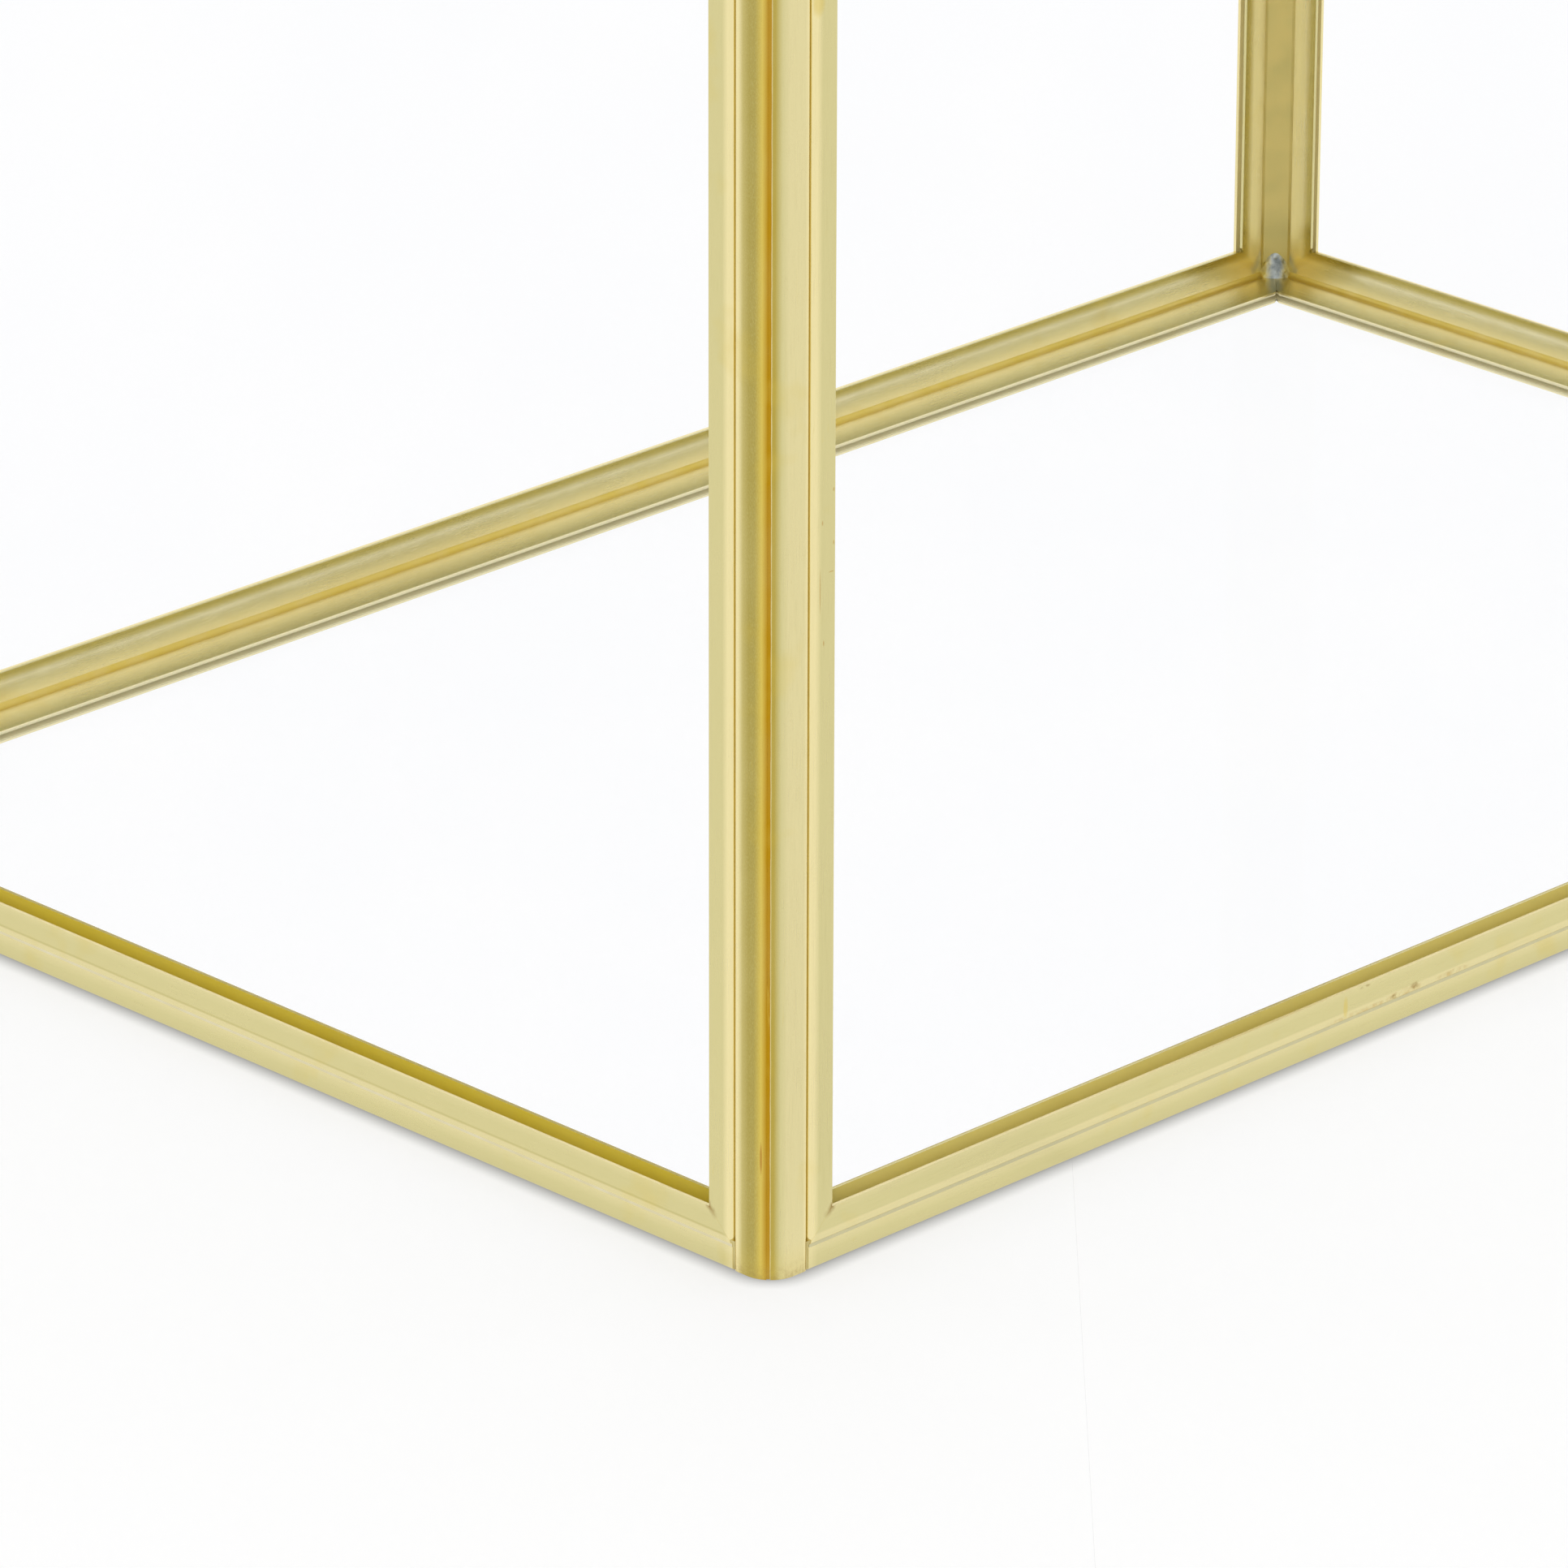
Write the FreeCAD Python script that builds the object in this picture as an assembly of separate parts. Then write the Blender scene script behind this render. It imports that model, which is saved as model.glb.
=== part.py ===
"""Glass card box in a folded brass frame, with a hinged lid that has a card slot."""
import math
import os

import FreeCAD
import Part

os.makedirs("parts", exist_ok=True)

# Sizes in millimetres. X runs along the long side, Y from the front to the back, Z up from the floor.

# Box
BOX_LENGTH = 250.0          # outside, along X
BOX_DEPTH = 165.0           # outside, along Y
BODY_HEIGHT = 198.0         # floor to the top of the rim, without the lid
LID_GAP = 0.1               # between the rim and the closed lid

# Sheet and glass
SHEET = 0.4                 # brass strip that the frame is folded from
GLASS = 1.6                 # base and lid panes
SIDE_GLASS = 2.4            # upright panes
GLASS_PLAY = 0.05           # beside each face of an upright pane, inside its channel
EDGE_PLAY = 0.3             # between a pane's edge and the web of its channel
FOLD_RADIUS = 0.55          # outside of a fold on the posts and the uprights
RAIL_FOLD_RADIUS = 0.2      # outside of the sharper folds on what runs level
SOLDER_SEAM = 0.1           # thin line of solder between two lengths
BUTT_GAP = 0.03             # between the end of a base rail and its post
MITRE_GAP = 0.02            # each channel stops this far short of the true mitre
MITRE_NOTCH = 0.35          # nipped off the inner end of each mitre

# Channels and corner posts
SIDE_LEG = 3.2              # outer leg of the narrow channel round a side pane
SIDE_INNER_LEG = 3.9        # its inner leg stands a little taller
FRAME_LEG = 8.6             # leg of the wide channel round the base and the lid
POST_BAND = 5.2             # width of a corner post on each face
POST_RADIUS = 3.2           # outside of a post's rounded corner
POST_SEAM_WIDTH = 0.4       # fine groove beside the edge that is lapped over the rounded corner
POST_SEAM_DEPTH = 0.22

# Solder in the inner corners of the base
SOLDER_RADIUS = 2.8         # on the base rails
SOLDER_TOP_RADIUS = 0.8     # where it tapers off up the corner
SOLDER_HEIGHT = 4.6

# Lid
SLOT_WIDTH = 14.0           # card slot, front to back
SLOT_END_DEPTH = 1.6        # strip that closes the slot at each end
TAB_WIDTH = 18.0            # thumb tab on the front of the lid
TAB_THICKNESS = 0.8
TAB_CORNER = 3.2

# Hinges
HINGE_INSET = 45.0          # from an end of the box to the middle of the nearer hinge
HINGE_LENGTH = 26.0
LEAF = 0.6                  # thickness of a hinge leaf
BOX_LEAF_HEIGHT = 3.0
LID_LEAF_HEIGHT = 2.1
KNUCKLE_RADIUS = 1.8
KNUCKLE_GAP = 0.2           # endwise, between two knuckles
LEAF_RELIEF = 0.3           # between a leaf and the other leaf's knuckle
PIN_RADIUS = 0.8
PIN_FIT = 0.05              # running fit round the pin
LID_OPEN_DEG = 110.0        # the heel of the lid leaf meets the box leaf here
HEEL_LENGTH = 2.9           # from the pin's axis to the tip of the heel
HEEL_THICKNESS = 0.8
HEEL_CLEARANCE = 0.1        # left at the end of the travel

X_AXIS = FreeCAD.Vector(1, 0, 0)
Y_AXIS = FreeCAD.Vector(0, 1, 0)
Z_AXIS = FreeCAD.Vector(0, 0, 1)

# Worked out from the sizes above
CHANNEL = GLASS + 2 * GLASS_PLAY + 2 * SHEET            # outside thickness of a base or lid rail
SIDE_CHANNEL = SIDE_GLASS + 2 * GLASS_PLAY + 2 * SHEET  # and of the channel round a side pane
POST_CLEAR = POST_BAND + SOLDER_SEAM                # what a post takes at each corner
SIDE_BOTTOM = CHANNEL + SOLDER_SEAM                 # the side frames stand on the base rails
LID_BOTTOM = BODY_HEIGHT + LID_GAP
BACK = BOX_DEPTH / 2
HINGE_X = BOX_LENGTH / 2 - HINGE_INSET
HINGE_Y = BACK + KNUCKLE_RADIUS
HINGE_Z = BODY_HEIGHT + LID_GAP / 2
HEEL_FACE = KNUCKLE_RADIUS - LEAF - HEEL_CLEARANCE  # from the pin's axis to the heel's stop face
HEEL_ANGLE = LID_OPEN_DEG - 90                      # the heel points this far above level when shut
HEEL_REACH = (HEEL_LENGTH * math.cos(math.radians(HEEL_ANGLE))
              + HEEL_FACE * math.sin(math.radians(HEEL_ANGLE)))
TAB_REACH = KNUCKLE_RADIUS + HEEL_REACH             # as far forward as the hinges reach back


def save(name, shape):
    """Write one node."""
    shape.exportStep("parts/" + name + ".step")


def block(low, high):
    """Box between two corners."""
    size = [high[i] - low[i] for i in range(3)]
    return Part.makeBox(size[0], size[1], size[2], FreeCAD.Vector(*low))


def rounded_face(corners):
    """Flat face in XY through corners of (x, y, radius), each rounded by its own radius."""
    starts = []
    ends = []
    edges = []
    for i, (x, y, radius) in enumerate(corners):
        corner = FreeCAD.Vector(x, y, 0)
        before = FreeCAD.Vector(*corners[i - 1][:2], 0) - corner
        after = FreeCAD.Vector(*corners[(i + 1) % len(corners)][:2], 0) - corner
        before.normalize()
        after.normalize()
        half = before.getAngle(after) / 2
        starts.append(corner + before * (radius / math.tan(half)))
        ends.append(corner + after * (radius / math.tan(half)))
        if radius > 0:
            middle = before + after
            middle.normalize()
            middle = corner + middle * (radius / math.sin(half) - radius)
            edges.append(Part.Arc(starts[i], middle, ends[i]).toShape())
        if i > 0:
            edges.append(Part.makeLine(ends[i - 1], starts[i]))
    edges.append(Part.makeLine(ends[-1], starts[0]))
    return Part.Face(Part.Wire(Part.__sortEdges__(edges)))


def channel(thickness, leg, inner_leg, length, fold, mitre):
    """Folded channel along Z. X runs from its web into the pane, Y through its thickness."""
    inner = thickness - SHEET
    face = rounded_face([
        (leg, 0, 0), (0, 0, fold), (0, thickness, fold), (inner_leg, thickness, 0),
        (inner_leg, inner, 0), (SHEET, inner, 0), (SHEET, SHEET, 0), (leg, SHEET, 0)])
    solid = face.extrude(Z_AXIS * length)
    if not mitre:
        return solid
    nipped = inner_leg - MITRE_NOTCH
    ends = Part.makePolygon([
        FreeCAD.Vector(0, 0, MITRE_GAP),
        FreeCAD.Vector(nipped, 0, nipped + MITRE_GAP),
        FreeCAD.Vector(inner_leg, 0, inner_leg + MITRE_NOTCH),
        FreeCAD.Vector(inner_leg, 0, length - inner_leg - MITRE_NOTCH),
        FreeCAD.Vector(nipped, 0, length - nipped - MITRE_GAP),
        FreeCAD.Vector(0, 0, length - MITRE_GAP),
        FreeCAD.Vector(0, 0, MITRE_GAP)])
    return solid.common(Part.Face(ends).extrude(Y_AXIS * thickness))


def rail(centre, inward, across, half_across, half_along, leg, inner_leg,
         thickness=CHANNEL, fold=RAIL_FOLD_RADIUS, mitre=True):
    """Channel along one side of a panel whose outer face has this centre.

    Inward points through the panel, and across from the rail's web to the middle of the panel.
    """
    along = across.cross(inward)
    start = centre - across * half_across - along * half_along
    solid = channel(thickness, leg, inner_leg, 2 * half_along, fold, mitre)
    solid.Placement = FreeCAD.Placement(start, FreeCAD.Rotation(across, inward, along, "XYZ"))
    return solid


def corner_clears(low, high):
    """The four square columns that the corner posts stand in."""
    reach_x = BOX_LENGTH / 2
    reach_y = BOX_DEPTH / 2
    width = POST_BAND + BUTT_GAP
    columns = []
    for x in (-reach_x, reach_x - width):
        for y in (-reach_y, reach_y - width):
            columns.append(block((x, y, low), (x + width, y + width, high)))
    return columns


def flat_frame(prefix, bottom, notched):
    """Wide channel round the base or the lid, as four mitred rails."""
    centre = Z_AXIS * bottom
    half_x = BOX_LENGTH / 2
    half_y = BOX_DEPTH / 2
    rails = {
        "front": rail(centre, Z_AXIS, Y_AXIS, half_y, half_x, FRAME_LEG, FRAME_LEG),
        "back": rail(centre, Z_AXIS, -Y_AXIS, half_y, half_x, FRAME_LEG, FRAME_LEG),
        "left": rail(centre, Z_AXIS, X_AXIS, half_x, half_y, FRAME_LEG, FRAME_LEG),
        "right": rail(centre, Z_AXIS, -X_AXIS, half_x, half_y, FRAME_LEG, FRAME_LEG)}
    for side, shape in rails.items():
        if notched:
            shape = shape.cut(corner_clears(bottom, bottom + CHANNEL))
        save(prefix + "_rail_" + side, shape)


def base_glass():
    """Base pane, with its corners clipped to clear the posts."""
    half_x = BOX_LENGTH / 2 - SHEET - EDGE_PLAY
    half_y = BOX_DEPTH / 2 - SHEET - EDGE_PLAY
    clip = 2 * (POST_CLEAR - SHEET)
    points = []
    for sx, sy in ((-1, -1), (1, -1), (1, 1), (-1, 1)):
        on_x_side = FreeCAD.Vector(sx * half_x, sy * (half_y - clip), SHEET)
        on_y_side = FreeCAD.Vector(sx * (half_x - clip), sy * half_y, SHEET)
        points += [on_x_side, on_y_side] if sx * sy > 0 else [on_y_side, on_x_side]
    points.append(points[0])
    save("base_glass", Part.Face(Part.makePolygon(points)).extrude(Z_AXIS * GLASS))


def side_panel(name, inward, half_width, distance):
    """One upright pane and the four mitred lengths of narrow channel round it."""
    half_width = half_width - POST_CLEAR
    half_height = (BODY_HEIGHT - SIDE_BOTTOM) / 2
    centre = Z_AXIS * (SIDE_BOTTOM + half_height) - inward * distance
    right = Z_AXIS.cross(inward)
    sides = {
        "bottom": (Z_AXIS, half_height, half_width, RAIL_FOLD_RADIUS),
        "top": (-Z_AXIS, half_height, half_width, RAIL_FOLD_RADIUS),
        "upright_a": (right, half_width, half_height, FOLD_RADIUS),
        "upright_b": (-right, half_width, half_height, FOLD_RADIUS)}
    for side, (across, half_across, half_along, fold) in sides.items():
        shape = rail(centre, inward, across, half_across, half_along, SIDE_LEG, SIDE_INNER_LEG,
                     SIDE_CHANNEL, fold)
        save(name + "_channel_" + side, shape)
    reach = half_width - SHEET - EDGE_PLAY
    start = centre + inward * (SHEET + GLASS_PLAY) - right * reach - Z_AXIS * (half_height - SHEET)
    height = 2 * (half_height - SHEET) - EDGE_PLAY
    pane = Part.makePolygon([
        start,
        start + right * (2 * reach),
        start + right * (2 * reach) + Z_AXIS * height,
        start + Z_AXIS * height,
        start])
    save(name + "_glass", Part.Face(pane).extrude(inward * SIDE_GLASS))


def corner_post():
    """Folded angle at the origin, with turned-in edges and a fine seam up its rounded corner."""
    inner = POST_BAND - SHEET
    face = rounded_face([
        (POST_BAND, SIDE_CHANNEL, 0), (POST_BAND, 0, FOLD_RADIUS), (0, 0, POST_RADIUS),
        (0, POST_BAND, FOLD_RADIUS), (SIDE_CHANNEL, POST_BAND, 0), (SIDE_CHANNEL, inner, 0),
        (SHEET, inner, 0), (SHEET, SHEET, POST_RADIUS - SHEET), (inner, SHEET, 0),
        (inner, SIDE_CHANNEL, 0)])
    post = face.extrude(Z_AXIS * BODY_HEIGHT)
    crown = POST_RADIUS * (math.sqrt(2) - 1)        # from the sharp corner to the rounded one
    groove = block((0, 0, 0), (crown + POST_SEAM_DEPTH, POST_SEAM_WIDTH, BODY_HEIGHT))
    groove.rotate(FreeCAD.Vector(0, 0, 0), Z_AXIS, 45)
    return post.cut(groove)


def corner_posts():
    """The four posts, each turned a quarter from the last."""
    half_x = BOX_LENGTH / 2
    half_y = BOX_DEPTH / 2
    corners = {
        "front_left": (-half_x, -half_y, 0),
        "front_right": (half_x, -half_y, 90),
        "back_right": (half_x, half_y, 180),
        "back_left": (-half_x, half_y, 270)}
    for name, (x, y, turn) in corners.items():
        post = corner_post()
        post.rotate(FreeCAD.Vector(0, 0, 0), Z_AXIS, turn)
        post.translate(FreeCAD.Vector(x, y, 0))
        save("corner_post_" + name, post)


def base_solder():
    """Solder in the four inner corners, which stands on the base rails and tapers up the posts."""
    reach_x = BOX_LENGTH / 2 - SIDE_CHANNEL
    reach_y = BOX_DEPTH / 2 - SIDE_CHANNEL
    room = block((-reach_x, -reach_y, CHANNEL), (reach_x, reach_y, BODY_HEIGHT))
    blobs = []
    for x in (-reach_x, reach_x):
        for y in (-reach_y, reach_y):
            foot = FreeCAD.Vector(x, y, CHANNEL)
            cone = Part.makeCone(SOLDER_RADIUS, SOLDER_TOP_RADIUS, SOLDER_HEIGHT, foot)
            blobs.append(cone.common(room).Solids[0])
    save("base_solder", Part.makeCompound(blobs))


def lid_panes():
    """Two panes, with the card slot left between them."""
    half_x = BOX_LENGTH / 2 - SHEET - EDGE_PLAY
    outer_y = BOX_DEPTH / 2 - SHEET - EDGE_PLAY
    inner_y = SLOT_WIDTH / 2 + SHEET + EDGE_PLAY
    low = LID_BOTTOM + SHEET
    save("lid_glass_front", block((-half_x, -outer_y, low), (half_x, -inner_y, low + GLASS)))
    save("lid_glass_back", block((-half_x, inner_y, low), (half_x, outer_y, low + GLASS)))


def slot_edging():
    """Bars of narrow channel along the card slot, and the strips that close its ends."""
    half_bar = BOX_LENGTH / 2 - FRAME_LEG - SOLDER_SEAM
    centre = Z_AXIS * LID_BOTTOM
    front = rail(centre, Z_AXIS, -Y_AXIS, -SLOT_WIDTH / 2, half_bar, SIDE_LEG, SIDE_LEG, mitre=False)
    back = rail(centre, Z_AXIS, Y_AXIS, -SLOT_WIDTH / 2, half_bar, SIDE_LEG, SIDE_LEG, mitre=False)
    save("slot_bar_front", front)
    save("slot_bar_back", back)
    mouth = BOX_LENGTH / 2 - FRAME_LEG
    half_y = SLOT_WIDTH / 2 + SHEET
    low = LID_BOTTOM + SHEET
    high = LID_BOTTOM + CHANNEL - SHEET
    save("slot_end_left", block((-mouth - SLOT_END_DEPTH, -half_y, low), (-mouth, half_y, high)))
    save("slot_end_right", block((mouth, -half_y, low), (mouth + SLOT_END_DEPTH, half_y, high)))


def thumb_tab():
    """Small tab with rounded corners on the web of the front lid rail."""
    half = TAB_WIDTH / 2
    front = -BOX_DEPTH / 2
    face = rounded_face([
        (-half, front, 0), (-half, front - TAB_REACH, TAB_CORNER),
        (half, front - TAB_REACH, TAB_CORNER), (half, front, 0)])
    tab = face.extrude(Z_AXIS * TAB_THICKNESS)
    tab.translate(Z_AXIS * (LID_BOTTOM + (CHANNEL - TAB_THICKNESS) / 2))
    save("lid_tab", tab)


def barrel(start, end, radius):
    """Round bar on the hinge line."""
    return Part.makeCylinder(radius, end - start, FreeCAD.Vector(start, HINGE_Y, HINGE_Z), X_AXIS)


def heel(start, end):
    """Stop on the lid's knuckle. It turns down against the box leaf as the lid reaches its end."""
    tongue = block((start, 0, -HEEL_FACE), (end, HEEL_LENGTH, HEEL_THICKNESS - HEEL_FACE))
    tongue.rotate(FreeCAD.Vector(0, 0, 0), X_AXIS, HEEL_ANGLE)
    tongue.translate(FreeCAD.Vector(0, HINGE_Y, HINGE_Z))
    return tongue


def hinge(name, middle):
    """Barrel hinge: two knuckles on the box leaf, one on the lid leaf, and a pin through all three."""
    start = middle - HINGE_LENGTH / 2
    end = middle + HINGE_LENGTH / 2
    inner_start = middle - HINGE_LENGTH / 6
    inner_end = middle + HINGE_LENGTH / 6
    bore = barrel(start, end, PIN_RADIUS + PIN_FIT)

    plate = block((start, BACK, BODY_HEIGHT - BOX_LEAF_HEIGHT), (end, BACK + LEAF, BODY_HEIGHT))
    room = barrel(inner_start - KNUCKLE_GAP, inner_end + KNUCKLE_GAP, KNUCKLE_RADIUS + LEAF_RELIEF)
    left = barrel(start, inner_start - KNUCKLE_GAP, KNUCKLE_RADIUS)
    right = barrel(inner_end + KNUCKLE_GAP, end, KNUCKLE_RADIUS)
    box_leaf = plate.cut(room).fuse([left, right]).cut(bore).removeSplitter()
    save(name + "_box_leaf", box_leaf)

    plate = block((start, BACK, LID_BOTTOM), (end, BACK + LEAF, LID_BOTTOM + LID_LEAF_HEIGHT))
    room_left = barrel(start, inner_start, KNUCKLE_RADIUS + LEAF_RELIEF)
    room_right = barrel(inner_end, end, KNUCKLE_RADIUS + LEAF_RELIEF)
    knuckle = barrel(inner_start, inner_end, KNUCKLE_RADIUS)
    lid_leaf = plate.cut([room_left, room_right]).fuse([knuckle, heel(inner_start, inner_end)])
    save(name + "_lid_leaf", lid_leaf.cut(bore).removeSplitter())

    save(name + "_pin", barrel(start, end, PIN_RADIUS))


base_glass()
flat_frame("base", 0, notched=True)
side_panel("front", Y_AXIS, BOX_LENGTH / 2, BOX_DEPTH / 2)
side_panel("back", -Y_AXIS, BOX_LENGTH / 2, BOX_DEPTH / 2)
side_panel("left", X_AXIS, BOX_DEPTH / 2, BOX_LENGTH / 2)
side_panel("right", -X_AXIS, BOX_DEPTH / 2, BOX_LENGTH / 2)
corner_posts()
base_solder()
flat_frame("lid", LID_BOTTOM, notched=False)
lid_panes()
slot_edging()
thumb_tab()
hinge("hinge_left", -HINGE_X)
hinge("hinge_right", HINGE_X)
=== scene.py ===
"""Looks of the glass card box: rolled brass strip, clear panes, grey solder and a plain white studio."""
import math

import bmesh
import bpy
from mathutils import Matrix, Vector


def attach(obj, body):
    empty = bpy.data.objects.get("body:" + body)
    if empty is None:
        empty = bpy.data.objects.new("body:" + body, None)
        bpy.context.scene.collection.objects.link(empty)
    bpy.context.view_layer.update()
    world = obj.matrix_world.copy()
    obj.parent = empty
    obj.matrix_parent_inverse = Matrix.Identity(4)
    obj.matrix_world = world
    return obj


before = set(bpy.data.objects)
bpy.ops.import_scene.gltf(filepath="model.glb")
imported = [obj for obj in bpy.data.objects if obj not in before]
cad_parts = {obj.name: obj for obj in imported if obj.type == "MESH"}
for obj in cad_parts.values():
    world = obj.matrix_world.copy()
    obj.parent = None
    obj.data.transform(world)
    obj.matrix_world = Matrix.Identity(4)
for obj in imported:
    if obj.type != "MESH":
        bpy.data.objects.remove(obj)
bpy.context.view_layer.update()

MM = 0.001
DIAGONAL = math.sqrt(0.5)   # sine and cosine of 45 degrees
OTHER = {"x": "y", "y": "x"}
FACE_SLACK = 0.02           # millimetres within which a point lies on a face

# Camera: place in metres from the middle of the footprint, angles in degrees
CAMERA_PLACE = Vector((-0.7678, -0.7287, 0.4287))
CAMERA_YAW = 45.075         # from +X towards +Y
CAMERA_PITCH = 22.41        # below level
CAMERA_ROLL = -0.133
SENSOR = 36.0               # millimetres
LENS = 237.4
CLIP_END = 1000             # metres

# Studio
FLOOR_SIZE = 60.0           # metres
FLOOR_SHARE = 0.40          # of the floor's white, as it is seen, that is lit and so takes a shadow
FLOOR_BOUNCE = 0.75         # of the light that the floor sends back up
FLOOR_MIRRORED = 0.85       # of plain white where the brass mirrors the floor
CONTACT_REACH = 2.4         # millimetres that the dark line at the foot of the box runs out
CONTACT_CLOSED = 0.45       # openness at which that line is darkest
CONTACT_SHADE = 0.45        # of the white that is left in it
SKY_SHARE = 0.85            # of the light that comes from all round
KEY_SOFTNESS = 40.0         # degrees across, straight overhead

# Wear, and a painted glint, on the front and the near post, in millimetres: place along, height, half
# length, half height
RAIL_SCUFFS = ((-34.5, 3.0, 0.9, 0.35), (-31.4, 3.3, 0.9, 0.45), (-39.1, 5.5, 0.9, 0.2))
RAIL_SMEARS = ((-39.5, 2.9, 5.5, 0.35), (-33.0, 3.0, 3.2, 0.6), (-25.6, 3.0, 2.8, 0.4))
UPRIGHT_SCRATCHES = ((-118.5, 70.7, 0.08, 2.6), (-118.2, 77.6, 0.11, 0.3), (-118.0, 65.3, 0.11, 0.35),
                     (-117.0, 72.4, 0.4, 0.08), (-116.7, 75.3, 0.1, 0.3), (-116.7, 80.7, 0.12, 0.25))
# The first of these is a painted glint high on the front upright, the second a gold tint on the front
# rail.
GLINT_AND_GOLD_TINTS = ((-118.9, 129.6, 0.9, 1.6), (-42.0, 4.0, 0.4, 1.4))
POST_STREAKS = ((-0.95, 12.9, 0.14, 1.9),)      # place across from the middle of the bend
SCUFF_SHARE = 0.7           # of the tone that a mark covers
SMEAR_SHARE = 0.5
SPOT_CORE = 0.2             # squared share of a spot's size that has the full mark
RAGGED = (0.38, 0.62)       # noise over which a scuff breaks up
RAGGED_SCALE = 1.3          # per millimetre, as for the other noises

# Stains of flux, and painted shade at the near window corner, in millimetres
FLUX_REACH = 8.0            # that heat and flux tint the brass, from a soldered corner or the floor
FLUX_TINT = 0.3             # of gold in that tint, at the corner
FLUX_TINT_BASE = 0.35
NOTCH_SHADE_RUN = 1.5              # length of the painted shade that runs down the mitre from the open notch at the near window corner
NOTCH_SHADE_WIDTH = 0.5            # to each side
NOTCH_SHADE_WANDER = 0.12
NOTCH_SHADE_SCALE = 1.6
NOTCH_SHADE_ABOVE = (-0.5, -0.2)   # places above the window's corner over which it sets in

# Finish of the brass
NOISE_SPAN = (0.3, 0.7)     # that nearly all of a noise lies in
GRAIN_DRAW = 0.04           # scale along the strip, which draws the grain out
GRAIN_SCALE = 9.0
GRAIN_DEPTH = 0.004         # millimetres, as for the other depths
CLOUD_SCALE = 0.09
SPECK_SCALE = 5.5
SPECKLE = 0.10              # of bronze in a speck
POST_SPECKLE = 0.16
HAIR_SCALE = 1.7
HAIR_WIDTH = 0.006          # of the noise's range that a hairline scratch takes
RARE = (0.56, 0.66)         # noise over which patches with scratches begin
RARE_SCALE = 0.12
SCRATCH_DEPTH = 0.005
SCRATCH_SHARE = 0.3         # of gold in a scratch
DENT_SCALE = 0.16
DENT_DEPTH = 0.08
ROUGHNESS = (0.17, 0.25)
CLOUD_ROUGHNESS = 0.05      # that clouds add
DULL_ROUGHNESS = 0.6
FACING = 0.7                # share of a direction above which a face looks that way
SKIN = 0.25                 # millimetres of a channel's sheet that count as its outside
RAIL_SKIN = 0.2             # and of a rail's, above and below
WALL_SKIN = 0.3             # millimetres in, to which a base rail has the tone of its wall
BURIED_FROM = 0.35          # millimetres in, from which it faces the glass
MITRE_TINT = (0.5, 1.6)     # millimetres from the post over which a level channel changes tone
MITRE_SHARE = 0.6
END_TINT = (0.3, 1.2)       # and a base rail
END_SHARE = 0.5
LID_SCALE = 0.05            # of the slow change of tone on the lid
HINGE_SCALE = 0.25

# Posts, in millimetres
EDGE_WANDER = 0.015         # to each side, of the bands round the bend
WANDER_SCALE = 2.0
WANDER_DRAW = 0.25          # scale along the post, which draws the noise out
SAND_SCALE = 11.0
SAND_DRAW = 0.35
SAND_MIDDLE = 0.5           # noise at which a grain sets in, light or dark
SAND_START = (-3.1, -2.3)   # places across the bend where the sanded sheet begins and ends
SAND_END = (-0.8, -1.4)
FOOT_MOTTLE_SPAN = (0.42, 0.66)         # noise over which a darker mottling comes up
FOOT_MOTTLE_SCALE = 1.6
FOOT_MOTTLE_SHARE = 0.45
FOOT_MOTTLE_HEIGHTS = (1.8, 0.1)      # heights over which the post gets darker mottling towards its foot
FOOT_GOLD = (3.5, 0.5)
FOOT_GOLD_SHARE = 0.22
INWARD = -0.2               # sum of the outward shares of a direction below which it looks inward

# Solder
LUMP_SCALE = 0.9
LUMP_DEPTH = 0.5            # millimetres
LUMP_ROUGHNESS = (0.45, 0.28)
THIN = (0.5, 2.2)           # millimetres off the corner over which the brass shows through
THIN_WANDER = 0.5
PATCH_SCALE = 0.35
PATCH_SPAN = (0.3, 0.75)    # noise over which a seam changes tone
SEAM_ROUGHNESS = (0.3, 0.4)

# Glass
GLASS_IOR = 1.5
GLASS_SHINE = 0.03          # of the reflection that a clean pane would have
SMUDGE_SCALE = 0.03
SMUDGE = (0.4, 0.7)         # noise over which a smudge comes up
SMUDGE_ROUGHNESS = 0.06


def srgb(red, green, blue):
    """Linear colour of a tone given as 0 to 255."""
    tone = [channel / 255 for channel in (red, green, blue)]
    return tuple(c / 12.92 if c < 0.04045 else ((c + 0.055) / 1.055) ** 2.4 for c in tone)


# Tones of the brass
# CREAM is the painted highlight on folds, bends and cut edges; in the finish it is also a faint random
# cloud.
CREAM = srgb(243, 229, 172)
PALE = srgb(230, 218, 163)
STRIP = srgb(218, 208, 150)
KHAKI = srgb(199, 184, 112)
OLIVE = srgb(178, 162, 82)
GOLD = srgb(222, 196, 90)
# GROOVE: orange painted shade in the groove round a post's bend
GROOVE = srgb(184, 138, 8)
BRONZE = srgb(186, 165, 74)
BROWN = srgb(140, 125, 61)
# tone of scuffs and dark grains, also used for the painted shade at the window's corner
SCUFF_AND_SHADE = srgb(156, 128, 70)
TARNISH = srgb(196, 160, 88)
RUST = srgb(178, 118, 24)
END_SIDE_LINE = srgb(204, 193, 130)
INNER = srgb(242, 233, 192)
GREY_GREEN = srgb(190, 186, 140)
CORNER_GOLD = srgb(206, 186, 112)
# gold of the inside crease run, a painted reflection of the brass in the crease
CREASE_GOLD = srgb(220, 196, 112)
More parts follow.
